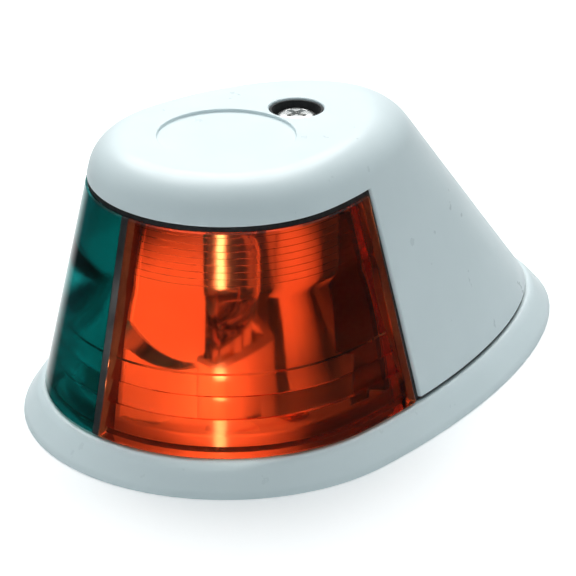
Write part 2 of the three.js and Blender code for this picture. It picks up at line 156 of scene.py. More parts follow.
def mesh_object(name, points, faces, reverse=False):
    """A closed mesh with merged points and its faces pointing out, or in with reverse."""
    mesh = bpy.data.meshes.new(name)
    mesh.from_pydata([place(p) for p in points], [], faces)
    work = bmesh.new()
    work.from_mesh(mesh)
    bmesh.ops.remove_doubles(work, verts=work.verts, dist=1e-7)
    bmesh.ops.delete(work, geom=[v for v in work.verts if not v.link_faces], context="VERTS")
    bmesh.ops.recalc_face_normals(work, faces=work.faces)
    if reverse:
        bmesh.ops.reverse_faces(work, faces=work.faces)
    work.to_mesh(mesh)
    work.free()
    obj = bpy.data.objects.new(name, mesh)
    bpy.context.scene.collection.objects.link(obj)
    return obj


def shade(obj, angle=SHARP_ANGLE):
    """Smooth shading, kept sharp where faces meet at more than the angle."""
    obj.data.polygons.foreach_set("use_smooth", [True] * len(obj.data.polygons))
    obj.data.set_sharp_from_angle(angle=math.radians(angle))
    return obj


def settle(obj):
    """Replaces an object's mesh with the result of its modifiers."""
    graph = bpy.context.evaluated_depsgraph_get()
    mesh = bpy.data.meshes.new_from_object(obj.evaluated_get(graph), depsgraph=graph)
    obj.modifiers.clear()
    obj.data = mesh
    return obj


def combine(obj, others, operation):
    """Joins or cuts obj with closed tool objects, which are then deleted."""
    for other in others:
        tool = obj.modifiers.new("tool", "BOOLEAN")
        tool.solver = "EXACT"
        tool.operation = operation
        tool.object = other
        settle(obj)
        bpy.data.objects.remove(other)
    return obj


def bevel(obj, width, segments=3, angle=40):
    """Eases the edges that are sharper than the angle, by a width in millimetres."""
    rounding = obj.modifiers.new("rounding", "BEVEL")
    rounding.width = width * MM
    rounding.segments = segments
    rounding.limit_method = "ANGLE"
    rounding.angle_limit = math.radians(angle)
    rounding.use_clamp_overlap = True
    return obj


def weigh_normals(obj):
    normals = obj.modifiers.new("normals", "WEIGHTED_NORMAL")
    normals.keep_sharp = True
    return obj


def finish_piece(obj, body, material, slot, *nodes):
    """Gives a piece its material, the body it rides on and the CAD nodes it stands for. The slot argument is
    not used.
    """
    obj.data.materials.clear()
    obj.data.materials.append(material)
    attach(obj, body)
    if nodes:
        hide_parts(*nodes)
    return obj


def rounded(corners, radius, steps=CORNER_STEPS):
    """A closed outline with each corner eased by a curve of about that radius."""
    outline = []
    count = len(corners)
    for i, corner in enumerate(corners):
        here = Vector(corner)
        before = Vector(corners[i - 1]) - here
        after = Vector(corners[(i + 1) % count]) - here
        reach = min(radius, 0.45 * before.length, 0.45 * after.length)
        start = here + before.normalized() * reach
        end = here + after.normalized() * reach
        for k in range(steps + 1):
            t = k / steps
            outline.append(tuple((1 - t) ** 2 * start + 2 * t * (1 - t) * here + t * t * end))
    return outline


def skin(columns, wrap_rows=False, wrap_columns=False):
    """Points and quads over a grid of columns, closed at its ends where it doesn't wrap."""
    rows = len(columns[0])
    points = [p for column in columns for p in column]
    faces = []
    for i in range(len(columns) - (not wrap_columns)):
        for j in range(rows - (not wrap_rows)):
            a, b = i, (i + 1) % len(columns)
            c, d = j, (j + 1) % rows
            faces.append((a * rows + c, b * rows + c, b * rows + d, a * rows + d))
    if not wrap_columns:
        last = (len(columns) - 1) * rows
        faces.append(tuple(range(rows)))
        faces.append(tuple(last + j for j in reversed(range(rows))))
    return points, faces


def lathe(name, profile, x=0, y=0, segments=64, wrap=False):
    """A round piece about an upright axis. An open profile starts and ends on the axis."""
    columns = []
    for i in range(segments):
        angle = 2 * math.pi * i / segments
        columns.append([(x + r * math.sin(angle), y - r * math.cos(angle), z) for r, z in profile])
    points, faces = skin(columns, wrap_rows=wrap, wrap_columns=True)
    return mesh_object(name, points, faces)


def rod(name, x, y, radius, bottom, top, segments=48):
    return lathe(name, [(0, bottom), (radius, bottom), (radius, top), (0, top)], x, y, segments)


def plate(name, outline, low, high, across=False):
    """A flat outline given thickness: along Z, or along X where the outline is in Y and Z."""
    def at(point, level):
        return (level, *point) if across else (*point, level)
    columns = [[at(p, level) for p in outline] for level in (low, high)]
    points, faces = skin(columns, wrap_rows=True)
    return mesh_object(name, points, faces)


def slab(name, xs, ys, zs):
    outline = [(xs[0], ys[0]), (xs[1], ys[0]), (xs[1], ys[1]), (xs[0], ys[1])]
    return plate(name, outline, *zs)


def tube(name, path, radius, sides=10):
    """A round wire along a path, with flat ends."""
    path = [Vector(p) for p in path]
    columns = []
    side = Vector((0, 1, 0))
    for i, here in enumerate(path):
        along = (path[min(i + 1, len(path) - 1)] - path[max(i - 1, 0)]).normalized()
        side = (side - along * side.dot(along)).normalized()
        other = along.cross(side)
        turn = [2 * math.pi * k / sides for k in range(sides)]
        columns.append([tuple(here + radius * (side * math.cos(t) + other * math.sin(t))) for t in turn])
    points, faces = skin(columns, wrap_rows=True)
    return mesh_object(name, points, faces)


# ================================================================ the egg-shaped housing


def tail_at(z):
    """How much longer the egg is behind the lamp axis than ahead of it, at a height."""
    if z < LEDGE:
        return TAIL_AT_DECK + (TAIL_AT_LEDGE - TAIL_AT_DECK) * z / LEDGE
    return TAIL_AT_LEDGE - TAIL_FALL * (z - LEDGE)


def egg_point(radius, z, bearing):
    """A point of the egg of that radius ahead of the lamp axis, at a true bearing from the bow."""
    side = math.copysign(1, bearing)
    turn = math.radians(abs(bearing))
    if abs(bearing) <= 90 or radius <= 0:
        return (side * radius * math.sin(turn), -radius * math.cos(turn), z)
    reach = radius + tail_at(z) * min(1, radius / CROWN_RADIUS)
    power = 2 / TAIL_POWER
    if abs(bearing) >= 180:
        return (0, reach, z)
    slope = math.tan(turn - math.pi / 2)
    ratio = (slope * radius / reach) ** (1 / power)
    sine = 1 / math.hypot(1, ratio)
    return (side * radius * sine**power, reach * (ratio * sine) ** power, z)


def wall_radius(z, inset=0.0):
    """The egg's radius at a height, that far in from the housing's outer face."""
    return WALL_RADIUS - DRAFT * (z - LEDGE) - inset / math.cos(DRAFT_ANGLE)


def around(extra=()):
    """Bearings all the way round, closer together at the tip of the tail."""
    even_to = 165
    count = round(even_to / BEARING_STEP)
    fore = [even_to * i / count for i in range(count + 1)]
    aft = [167.5, 170, 172, 174, 175.5, 177, 178.5]
    half = sorted(set(fore + aft) | set(extra))
    half = [b for b in half if b in extra or all(abs(b - e) > BEARING_STEP / 3 for e in extra)]
    return [-b for b in reversed(half) if b > 0] + half + [180]


def egg_sweep(name, profile, wrap):
    """A profile of radius and height carried round the egg. With wrap, the profile is a closed loop."""
    columns = [[egg_point(r, z, b) for r, z in profile] for b in around()]
    points, faces = skin(columns, wrap_rows=wrap, wrap_columns=True)
    return mesh_object(name, points, faces)


def wall_rows(outer, inner, levels):
    """Matching points on the outside and inside of the wall, level by level."""
    return [((wall_radius(z, outer), z), (wall_radius(z, inner), z)) for z in levels]


def panel(name, bearings, rows, keep, full_circle=False, flat_top=False):
    """A walled piece made of the cells that keep(bearing, z) accepts, closed round its edges.

    With flat_top, the last row of each face is filled in flat instead.
    """
    count, height = len(bearings), len(rows)
    points = [egg_point(*row[face], b) for face in (0, 1) for b in bearings for row in rows]

    def vertex(face, i, j):
        return (face * count + i % count) * height + j

    def kept(i, j):
        if not 0 <= j < height - 1 or not (full_circle or 0 <= i < count - 1):
            return False
        i %= count
        ahead = bearings[(i + 1) % count]
        if ahead < bearings[i]:
            ahead += 360
        return keep((bearings[i] + ahead) / 2, (rows[j][0][1] + rows[j + 1][0][1]) / 2)

    faces = []
    for i in range(count if full_circle else count - 1):
        for j in range(height - 1):
            if not kept(i, j):
                continue
            ring = [(i, j), (i + 1, j), (i + 1, j + 1), (i, j + 1)]
            faces.append(tuple(vertex(0, *c) for c in ring))
            faces.append(tuple(vertex(1, *c) for c in reversed(ring)))
            beside = [(i, j - 1), (i + 1, j), (i, j + 1), (i - 1, j)]
            for k, neighbour in enumerate(beside):
                if kept(*neighbour) or (flat_top and neighbour[1] == height - 1):
                    continue
                a, b = ring[k], ring[(k + 1) % 4]
                faces.append((vertex(0, *a), vertex(1, *a), vertex(1, *b), vertex(0, *b)))
    if flat_top:
        faces += [tuple(vertex(face, i, height - 1) for i in range(count)) for face in (0, 1)]
    return mesh_object(name, points, faces)


def spread(low, high, count):
    """Even steps from low to high, both included."""
    return [low + (high - low) * i / count for i in range(count + 1)]


# ================================================================ materials


def new_material(name):
    material = bpy.data.materials.new(name)
    material.use_nodes = True
    tree = material.node_tree
    return material, tree, tree.nodes["Principled BSDF"]


def noise(tree, scale, detail=3.0, stretch=(1, 1, 1)):
    """Noise over object space, in features per metre."""
    where = tree.nodes.new("ShaderNodeTexCoord")
    mapping = tree.nodes.new("ShaderNodeMapping")
    mapping.inputs["Scale"].default_value = stretch
    texture = tree.nodes.new("ShaderNodeTexNoise")
    texture.inputs["Scale"].default_value = scale
    texture.inputs["Detail"].default_value = detail
    tree.links.new(where.outputs["Object"], mapping.inputs["Vector"])
    tree.links.new(mapping.outputs["Vector"], texture.inputs["Vector"])
    return texture.outputs["Fac"]


def ramp(tree, fac, low, high, start=0.3, end=0.7):
    """Colours or values between two ends of a factor."""
    node = tree.nodes.new("ShaderNodeValToRGB")
    node.color_ramp.elements[0].position = start
    node.color_ramp.elements[1].position = end
    for element, value in zip(node.color_ramp.elements, (low, high)):
        element.color = (*value, 1) if isinstance(value, tuple) else (value, value, value, 1)
    tree.links.new(fac, node.inputs["Fac"])
    return node.outputs["Color"]


def bump(tree, shader, layers):
    """Stacks bumps of (height output, strength, depth in millimetres) onto a shader's normal."""
    normal = None
    for height, strength, depth in layers:
        node = tree.nodes.new("ShaderNodeBump")
        node.inputs["Strength"].default_value = strength
        node.inputs["Distance"].default_value = depth * MM
        tree.links.new(height, node.inputs["Height"])
        if normal is not None:
            tree.links.new(normal, node.inputs["Normal"])
        normal = node.outputs["Normal"]
    tree.links.new(normal, shader.inputs["Normal"])


def white_plastic():
    """Glossy injection-moulded ASA: faint flow marks, a very fine grain and slight handling wear."""
    material, tree, shader = new_material("white_moulding")
    colour = ramp(tree, noise(tree, 45, 4), (0.67, 0.76, 0.78), (0.71, 0.8, 0.82))
    tree.links.new(colour, shader.inputs["Base Color"])
    tree.links.new(ramp(tree, noise(tree, 260, 5), 0.27, 0.4), shader.inputs["Roughness"])
    shader.inputs["IOR"].default_value = 1.5
    grain = noise(tree, 4200, 1)
    waves = noise(tree, 70, 2)
    bump(tree, shader, [(waves, 0.12, 0.12), (grain, 0.12, 0.008)])
    return material


def black_plastic():
    material, tree, shader = new_material("black_moulding")
    colour = ramp(tree, noise(tree, 300, 4), (0.012, 0.012, 0.013), (0.03, 0.03, 0.031))
    tree.links.new(colour, shader.inputs["Base Color"])
    tree.links.new(ramp(tree, noise(tree, 900, 3), 0.45, 0.65), shader.inputs["Roughness"])
    bump(tree, shader, [(noise(tree, 6500, 2), 0.5, 0.02)])
    return material


def black_screen():
    """Dead-matt black, as on a screen that must not throw light back."""
    material, tree, shader = new_material("matt_black_screen")
    colour = ramp(tree, noise(tree, 400, 4), (0.004, 0.004, 0.005), (0.01, 0.01, 0.01))
    tree.links.new(colour, shader.inputs["Base Color"])
    tree.links.new(ramp(tree, noise(tree, 1200, 3), 0.7, 0.9), shader.inputs["Roughness"])
    shader.inputs["Specular IOR Level"].default_value = 0.15
    bump(tree, shader, [(noise(tree, 6000, 2), 0.5, 0.02)])
    return material


def rubber():
    material, tree, shader = new_material("black_rubber")
    colour = ramp(tree, noise(tree, 500, 4), (0.01, 0.01, 0.011), (0.026, 0.026, 0.027))
    tree.links.new(colour, shader.inputs["Base Color"])
    tree.links.new(ramp(tree, noise(tree, 1500, 3), 0.62, 0.85), shader.inputs["Roughness"])
    bump(tree, shader, [(noise(tree, 4500, 3), 0.6, 0.03)])
    return material


def clear_material(name, low, high, roughness, shadow_tint):
    """A see-through moulding. Lamp light passes each of its faces with the shadow tint."""
    material, tree, shader = new_material(name)
    tree.links.new(ramp(tree, noise(tree, 60, 3), low, high), shader.inputs["Base Color"])
    tree.links.new(ramp(tree, noise(tree, 900, 4), *roughness), shader.inputs["Roughness"])
    shader.inputs["IOR"].default_value = 1.5
    shader.inputs["Transmission Weight"].default_value = 1
    bump(tree, shader, [(noise(tree, 140, 2), 0.1, 0.08)])
    passing = tree.nodes.new("ShaderNodeBsdfTransparent")
    passing.inputs["Color"].default_value = (*shadow_tint, 1)
    rays = tree.nodes.new("ShaderNodeLightPath")
    mix = tree.nodes.new("ShaderNodeMixShader")
    tree.links.new(rays.outputs["Is Shadow Ray"], mix.inputs["Fac"])
    tree.links.new(shader.outputs["BSDF"], mix.inputs[1])
    tree.links.new(passing.outputs["BSDF"], mix.inputs[2])
    tree.links.new(mix.outputs["Shader"], tree.nodes["Material Output"].inputs["Surface"])
    return material


def metal(name, low, high, roughness, grain, streak=(1, 1, 1)):
    """A metal with a drawn or turned grain: streak stretches the grain along the work."""
    material, tree, shader = new_material(name)
    shader.inputs["Metallic"].default_value = 1
    lines = noise(tree, grain, 5, streak)
    tree.links.new(ramp(tree, noise(tree, 220, 4), low, high), shader.inputs["Base Color"])
    tree.links.new(ramp(tree, lines, *roughness), shader.inputs["Roughness"])
    bump(tree, shader, [(lines, 0.35, 0.008)])
    return material


WHITE = white_plastic()
BLACK = black_plastic()
SCREEN_BLACK = black_screen()
RUBBER = rubber()
RED = clear_material(
    "red_lens_plastic", (1.0, 0.14, 0.06), (1.0, 0.17, 0.075), (0.07, 0.09), (0.86, 0.57, 0.36))
GREEN = clear_material(
    "green_lens_plastic", (0.0, 0.3, 0.28), (0.01, 0.36, 0.35), (0.07, 0.09), (0.6, 0.92, 0.9))
CLEAR = clear_material(
    "bulb_glass_clear", (0.97, 0.98, 0.98), (0.99, 0.995, 0.995), (0.0, 0.02), (0.95, 0.96, 0.96))
STAINLESS = metal("stainless_steel", (0.62, 0.62, 0.61), (0.72, 0.72, 0.71), (0.2, 0.32), 1500)
BRASS = metal("sheet_brass", (0.62, 0.42, 0.17), (0.78, 0.58, 0.28), (0.22, 0.42), 1800, (0.15, 1, 1))
TUNGSTEN = metal("tungsten_wire", (0.25, 0.25, 0.26), (0.36, 0.36, 0.37), (0.35, 0.5), 5000)
TINNED = metal("tinned_wire", (0.55, 0.55, 0.54), (0.68, 0.68, 0.67), (0.25, 0.4), 4000)


# ================================================================ base


def base_moulding():
    """Flange, floor, locating rib, screw post, web and the lower half of the centre baffle."""
    skirt_inner = 26.4
    floor_inner = 15
    outer_wall = [(BASE_RADIUS, 0.0), (30.85, 0.95), (28.8, 4.0), (28.1, LEDGE)]
    corners = [
        (skirt_inner, FLOOR_UNDER), (skirt_inner, 0), *outer_wall,
        (GROOVE["outer"], LEDGE), (GROOVE["outer"], GROOVE["floor"]),
        (GROOVE["inner"], GROOVE["floor"]), (GROOVE["inner"], LEDGE),
        (RIB["outer"], LEDGE), (RIB["outer"], RIB["top"]), (RIB["inner"], RIB["top"]),
        (RIB["inner"], FLOOR_TOP), (floor_inner, FLOOR_TOP), (floor_inner, FLOOR_UNDER),
    ]
    loop = rounded(corners, 0.45)[:-2 * (CORNER_STEPS + 1)]
    profile = [(0, FLOOR_UNDER), (floor_inner, FLOOR_UNDER), *loop]
    profile += [(floor_inner, FLOOR_TOP), (0, FLOOR_TOP)]
    flange = egg_sweep("base_moulding", profile, wrap=False)
    post_profile = [
        (0, ROOT), (POST["bottom_radius"] + 1, ROOT), (POST["bottom_radius"] + 0.9, FLOOR_TOP),
        (POST["bottom_radius"] + 0.25, FLOOR_TOP + 0.3), (POST["bottom_radius"], FLOOR_TOP + 1),
        (POST["top_radius"], POST["top"] - 0.35), (POST["top_radius"] - 0.1, POST["top"] - 0.1),
        (POST["top_radius"] - 0.35, POST["top"]), (POST["bore"] + 0.25, POST["top"]),
        (POST["bore"], POST["top"] - 0.25), (POST["bore"], POST["bore_floor"]), (0, POST["bore_floor"] - 1),
    ]
    post = lathe("post", post_profile, 0, SCREW_Y)
    web = slab("web", (-0.6, 0.6), (SCREW_Y, SCREW_Y + 14), (ROOT, 13))
    lower = baffle_plate("lower_baffle", LOWER_ARC, below=True)
    combine(flange, [post, web, lower], "UNION")
    tools = []
    for x, y in DECK_HOLES:
        profile = [
            (0, 0), (DECK_HOLE["radius"], 0), (DECK_HOLE["radius"], FLOOR_UNDER),
            (DECK_HOLE["sink"], FLOOR_TOP - 0.02), (DECK_HOLE["sink"], 6), (0, 6),
        ]
        tools.append(lathe("deck_hole", profile, x, y, 48))
    for side in (1, -1):
        tools.append(rod("rivet_hole", side * RIVET["x"], 0, RIVET["hole"], 0, 6))
    combine(flange, tools, "DIFFERENCE")
    shade(flange)
    weigh_normals(flange)
    return finish_piece(flange, "base_unit", WHITE, "white_plastic", "base")


def baffle_plate(name, circle, below):
    """Half of the centre baffle, above or below an arc that leaves a gap between the halves."""
    arc_y, arc_z, arc_radius = circle["y"], circle["z"], circle["radius"]
    aft, top, clear = BAFFLE["aft"], BAFFLE["top"], BAFFLE["clear"]
    arc = []
    for t in spread(math.asin((arc_y - aft) / arc_radius), math.pi / 2, 40):
        y = arc_y - arc_radius * math.sin(t)
        z = arc_z - arc_radius * math.cos(t)
        if y > -wall_radius(z, clear):
            arc.append((y, z))
    if below:
        front = [(-wall_radius(z, clear), z) for z in (arc[-1][1], 10, ROOT)]
        outline = [(aft, ROOT), *arc, *front]
    else:
        front = [(-wall_radius(z, clear), z) for z in (arc[-1][1], 28, top)]
        close, step_z = BAFFLE["close"], BAFFLE["close_bottom"]
        outline = [*arc, *front, (close, top), (close, step_z), (aft, step_z)]
    return plate(name, outline, -BAFFLE["half"], BAFFLE["half"], across=True)


def ring_seal(name, inner, outer, bottom, top, node):
    """A rubber ring that follows the egg, with a rounded square section."""
    corners = [(inner, bottom), (outer, bottom), (outer, top), (inner, top)]
    seal = egg_sweep(name, rounded(corners, 0.35), wrap=True)
    shade(seal, 60)
    return finish_piece(seal, "base_unit", RUBBER, "rubber", node)


def seam_shade_lip():
    """A black rubber lip off the foot seal, drawn into the seam under the cover behind the lenses: painted
    shade, a black line standing in for the shadow in that gap.
    """
    low, high = LENS_FOOT + 0.01, LENS_FOOT + FOOT_GAP - 0.02
    rows = [((wall_radius(z, 0.3), z), (wall_radius(z, 1.6), z)) for z in (low, high)]
    edge = WINDOW_EDGE + 0.4
    lip = panel(
        "seam_shade_lip", around(extra=(edge,)), rows, lambda b, z: abs(b) > edge, full_circle=True)
    shade(lip, 60)
    return finish_piece(lip, "base_unit", RUBBER, "rubber")


# ================================================================ cover


def housing_rows(levels):
    """Rows from the cover's foot, over the rounding, to the edge of the flat top."""
    rows = wall_rows(0, WALL, levels)
    centre_z = TOP - CAP_FILLET
    centre_radius = wall_radius(centre_z, CAP_FILLET)
    for angle in spread(DRAFT_ANGLE, math.pi / 2, 12):
        row = []
        for radius in (CAP_FILLET, CAP_FILLET - WALL):
            row.append((centre_radius + radius * math.cos(angle), centre_z + radius * math.sin(angle)))
        rows.append(tuple(row))
    return rows


def lipped_cutter(name, x, y, radius, floor, lip, corner, bore=None):
    """A round cutter that leaves a rounded rim, a rounded inner corner and perhaps a hole below."""
    steps = 6
    profile = [(0, floor)]
    if bore:
        profile = [(0, BOSS["bottom"] - 1), (bore, BOSS["bottom"] - 1)]
        profile += [(bore, floor - 0.12), (bore + 0.12, floor)]
    for t in spread(0, math.pi / 2, steps):
        profile.append((radius - corner + corner * math.sin(t), floor + corner - corner * math.cos(t)))
    for t in spread(0, math.pi / 2, steps):
        profile.append((radius + lip - lip * math.cos(t), TOP - lip + lip * math.sin(t) + 0.002))
    profile += [(radius + lip, TOP + 2), (0, TOP + 2)]
    return lathe(name, profile, x, y, 96)


def cover_shell():
    """The white cover, with its window, screw boss and pocket, and the plain round recess."""
    levels = spread(LENS_FOOT + FOOT_GAP, CAP_RIM, 14)
    bearings = around(extra=(WINDOW_EDGE,))
    cover = panel(
        "cover_shell", bearings, housing_rows(levels),
        lambda b, z: abs(b) > WINDOW_EDGE or z > CAP_RIM, full_circle=True, flat_top=True)
    bevel(cover, 0.3)
    settle(cover)
    boss = rod("boss", 0, SCREW_Y, BOSS["radius"], BOSS["bottom"], TOP - WALL / 2, 64)
    combine(cover, [boss], "UNION")
    combine(cover, [
        lipped_cutter("pocket", 0, SCREW_Y, POCKET["radius"], POCKET["floor"], 0.35, 0.3, bore=2.1),
        lipped_cutter("badge", 0, 0, BADGE["radius"], TOP - BADGE["depth"], 0.16, 0.15),
    ], "DIFFERENCE")
    shade(cover)
    weigh_normals(cover)
    return finish_piece(cover, "cover_unit", WHITE, "white_plastic", "cover")


# ================================================================ lenses and what frames them


def inner_relief():
    """Insets and heights down the inside of a lens: fine ribs, a bulging band, then deeper prisms."""
    wall, tilt, step = RELIEF["wall"], RELIEF["tilt"], RELIEF["step"]
    points = []
    pitch = (UPPER_RIBS["top"] - UPPER_RIBS["bottom"]) / UPPER_RIBS["count"]
    for i in range(UPPER_RIBS["count"]):
        z = UPPER_RIBS["top"] - i * pitch
        face = 0.87 * pitch
        points += [(wall, z), (wall - tilt * face, z - face)]
    for t in spread(0, 1, 16):
        z = BAND["top"] + (BAND["bottom"] - BAND["top"]) * t
        points.append((BAND["inset"] + BAND["bulge"] * 4 * t * (1 - t), z))
    last = len(LOWER_PRISMS) - 2
    for i, (top, bottom) in enumerate(zip(LOWER_PRISMS, LOWER_PRISMS[1:])):
        curve = 0 if i == last else RELIEF["curve"]
        for drop in spread(0, top - bottom - step, 5):
            points.append((wall - tilt * drop - curve * drop**2, top - drop))
    return points


def lens_column(bearing, seam_x=None):
    """One upright section of the port lens."""
    outer = 0.05
    on_tongue = bearing > PANE_EDGE - 0.01
    in_border = bearing >= TONGUE["fore"]
    edge_inset = TONGUE["outer"] if on_tongue else outer
    if PANE_EDGE - 0.8 < bearing <= PANE_EDGE - 0.01:
        edge_inset = outer + 0.25 * (bearing - PANE_EDGE + 0.8) ** 2
    section = [(edge_inset + 0.12, LENS_FOOT), (edge_inset, LENS_FOOT + 0.15)]
    section += [(edge_inset, z) for z in spread(LENS_FOOT + 2, LENS_TOP - 2, 10)]
    section += [(edge_inset, LENS_TOP - 0.2), (edge_inset + 0.15, LENS_TOP)]
    section += [(TONGUE["outer"], LENS_TOP + 0.01), (TONGUE["outer"], TONGUE_TOP - 0.2)]
    section += [(TONGUE["outer"] + 0.2, TONGUE_TOP), (TONGUE["inner"] - 0.2, TONGUE_TOP)]
    section += [(TONGUE["inner"], TONGUE_TOP - 0.2), (TONGUE["inner"], UPPER_RIBS["top"] + 0.5)]
    for inset, z in inner_relief():
        section.append((TONGUE["inner"] if in_border else inset, z))
    section.append((TONGUE["inner"] if in_border else RELIEF["wall"], LENS_FOOT))
    column = []
    for inset, z in section:
        x, y, z = egg_point(wall_radius(z, inset), z, bearing)
        if seam_x is not None:
            x, y = seam_x, -math.sqrt(wall_radius(z, inset) ** 2 - seam_x**2)
        column.append((x, y, z))
    return column


def lens_moulding(name, side, material, slot, node):
    """One lens: side is 1 to port and -1 to starboard, which is the mirror image."""
    bearings = spread(3, TONGUE["fore"] - 1, 54)
    bearings += [TONGUE["fore"] - 0.05, TONGUE["fore"], 113]
    bearings += [PANE_EDGE - 0.8, PANE_EDGE - 0.3, PANE_EDGE - 0.02]
    bearings += [PANE_EDGE, 116.5, 118.5, TONGUE["aft"] - 0.3, TONGUE["aft"]]
    columns = [lens_column(0, LENS_HALF_GAP)] + [lens_column(b) for b in bearings]
    if side < 0:
        columns = [[(-x, y, z) for x, y, z in column] for column in columns]
    points, faces = skin(columns, wrap_rows=True)
    lens = mesh_object(name, points, faces)
    shade(lens, 24)
    return finish_piece(lens, "lens_unit", material, slot, node)


def lens_seal():
    """The black line that runs over both lenses and down their aft edges."""
    inside, outside = SEAL_EDGE
    fore = spread(-inside + 1.5, inside - 1.5, 90)
    bearings = [-outside, -inside, *fore, inside, outside]
    levels = spread(LENS_FOOT + 0.2, LENS_TOP - 0.03, 12) + [CAP_RIM - 0.1]
    seal = panel(
        "lens_surround_seal", bearings, wall_rows(0.35, 2.1, levels),
        lambda b, z: abs(b) > inside or z > LENS_TOP - 0.03)
    bevel(seal, 0.1, 2)
    shade(seal, 60)
    return finish_piece(seal, "lens_unit", RUBBER, "rubber", "lens_seal")


def divider_strip():
    """The upright black strip between the two lenses."""
    half, deep = DIVIDER["half"], DIVIDER["deep"]
    columns = []
    for z in spread(LENS_FOOT, LENS_TOP, 8):
        front, back = wall_radius(z, 0.05), wall_radius(z, deep)
        columns.append([(-half, -front, z), (half, -front, z), (half, -back, z), (-half, -back, z)])
    points, faces = skin(columns, wrap_rows=True)
    strip = mesh_object("lens_divider_strip", points, faces)
    bevel(strip, 0.15, 2)
    shade(strip, 60)
    return finish_piece(strip, "lens_unit", BLACK, "black_plastic", "lens_divider")


def upper_baffle():
    wall = baffle_plate("upper_baffle_plate", UPPER_ARC, below=False)
    bevel(wall, 0.15, 2)
    shade(wall, 60)
    return finish_piece(wall, "lens_unit", WHITE, "white_plastic", "sector_baffle")


# ================================================================ cover screw


def phillips_cutter(depth, top):
    """Four tapered wings, as one closed tool."""
    tools = []
    for turn in (0, 90):
        reach, half = 1.95, 0.42
        outline = [(-reach, top), (reach, top), (0.75, top - depth), (-0.75, top - depth)]
        wing = plate("wing", outline, -half, half, across=True)
        wing.data.transform(Matrix.Translation((0, -LAMP_Y * MM, 0)))
        wing.data.transform(Matrix.Rotation(math.radians(turn), 4, "Z"))
        wing.data.transform(Matrix.Translation((0, (LAMP_Y + SCREW_Y) * MM, 0)))
        tools.append(wing)
    return combine(tools[0], [tools[1]], "UNION")


def screw_head():
    """The pan head down to the unthreaded neck, with its cross recess."""
    bottom, top, radius = SCREW["head_bottom"], SCREW["head_top"], SCREW["head"]
    height = top - bottom
    profile = [(0, bottom - 0.5), (SCREW["radius"] * 0.86, bottom - 0.5), (SCREW["radius"] * 0.86, bottom)]
    profile += [(radius - 0.12, bottom), (radius, bottom + 0.12), (radius, bottom + 0.3 * height)]
    for t in spread(0.1, math.pi / 2, 10):
        z = bottom + height * (0.3 + 0.7 * math.sin(t))
        profile.append((radius * 0.42 + radius * 0.58 * math.cos(t), z))
    profile.append((0, top))
    head = lathe("cover_screw_head", profile, 0, SCREW_Y, 72)
    combine(head, [phillips_cutter(1.35, top + 0.1)], "DIFFERENCE")
    bevel(head, 0.05, 2, 50)
    shade(head, 40)
    weigh_normals(head)
    return finish_piece(head, "screw", STAINLESS, "stainless", "cover_screw")


def screw_thread():
    """A self-tapping thread, cut along a tapering point."""
    bottom = SCREW["head_bottom"] - SCREW["length"]
    top = SCREW["head_bottom"] - 0.5
    steps, turns = 150, 40
    columns = []
    for i in range(turns):
        angle = 2 * math.pi * i / turns
        column = [(0, SCREW_Y, bottom)]
        for z in spread(bottom + 0.05, top, steps):
            phase = (z / SCREW["pitch"] - i / turns) % 1
            ridge = max(0, 1 - abs(phase - 0.5) / 0.32)
            fade = min(1, (top - z) / 0.8)
            taper = min(1, 0.15 + (z - bottom) / 2.6)
            radius = (SCREW["radius"] * 0.72 + SCREW["radius"] * 0.28 * ridge * fade) * taper
            column.append((radius * math.sin(angle), SCREW_Y - radius * math.cos(angle), z))
        column.append((0, SCREW_Y, top))
        columns.append(column)
    points, faces = skin(columns, wrap_columns=True)
    thread = mesh_object("cover_screw_thread", points, faces)
    shade(thread, 50)
    return finish_piece(thread, "screw", STAINLESS, "stainless")


def washer_and_seal():
    """The flat washer under the screw head, in a rubber cup."""
    low, high = box_mm("cover_screw_washer")
    corners = [(2.05, low[2]), (3.6, low[2]), (3.6, high[2]), (2.05, high[2])]
    washer = lathe("cover_screw_washer_disc", rounded(corners, 0.1, 2), 0, SCREW_Y, 64, wrap=True)
    shade(washer, 40)
    finish_piece(washer, "screw_seals", STAINLESS, "stainless", "cover_screw_washer")
    bottom, top = box_mm("cover_screw_seal")[0][2], box_mm("cover_screw_seal")[1][2]
    inner, outer, floor = 3.68, 4, low[2] - 0.05
    corners = [(2.05, bottom), (outer, bottom), (outer, top), (inner, top), (inner, floor), (2.05, floor)]
    cup = lathe("cover_screw_rubber_cup", rounded(corners, 0.12, 3), 0, SCREW_Y, 72, wrap=True)
    shade(cup, 50)
    finish_piece(cup, "screw_seals", RUBBER, "rubber", "cover_screw_seal")


# ================================================================ bulb


def bulb_sections(inset):
    """Half widths in X and Y up the bulb: a flat wedge that opens into a round envelope."""
    radius = GLASS["radius"] - inset
    sections = []
    if inset == 0:
        foot = WEDGE["bottom"]
        sections = [(0, 0, foot), (0.9, 4.3, foot), (WEDGE["half_x"], WEDGE["half_y"], foot + 0.3)]
        sections.append((WEDGE["half_x"], WEDGE["half_y"], GLASS["pinch"]))
        for t in spread(0.2, 1, 6):
            eased = t * t * (3 - 2 * t)
            z = GLASS["pinch"] + (GLASS["shoulder"] - GLASS["pinch"]) * t
            x = WEDGE["half_x"] + (radius - WEDGE["half_x"]) * eased
            sections.append((x, WEDGE["half_y"] + (radius - WEDGE["half_y"]) * eased, z))
    else:
        floor = GLASS["pinch"] + 1.9
        sections = [(0, 0, floor), (1.2, 3, floor + 0.1), (2.6, 3.7, floor + 0.6)]
        sections.append((radius, radius, GLASS["shoulder"] + inset))
    sections += [(radius, radius, z) for z in spread(GLASS["shoulder"] + 2, GLASS["side_top"], 6)]
    for t in spread(0.15, math.pi / 2, 10):
        z = GLASS["side_top"] + (radius - 0.3) * math.sin(t)
        sections.append((radius * math.cos(t), radius * math.cos(t), z))
    return sections


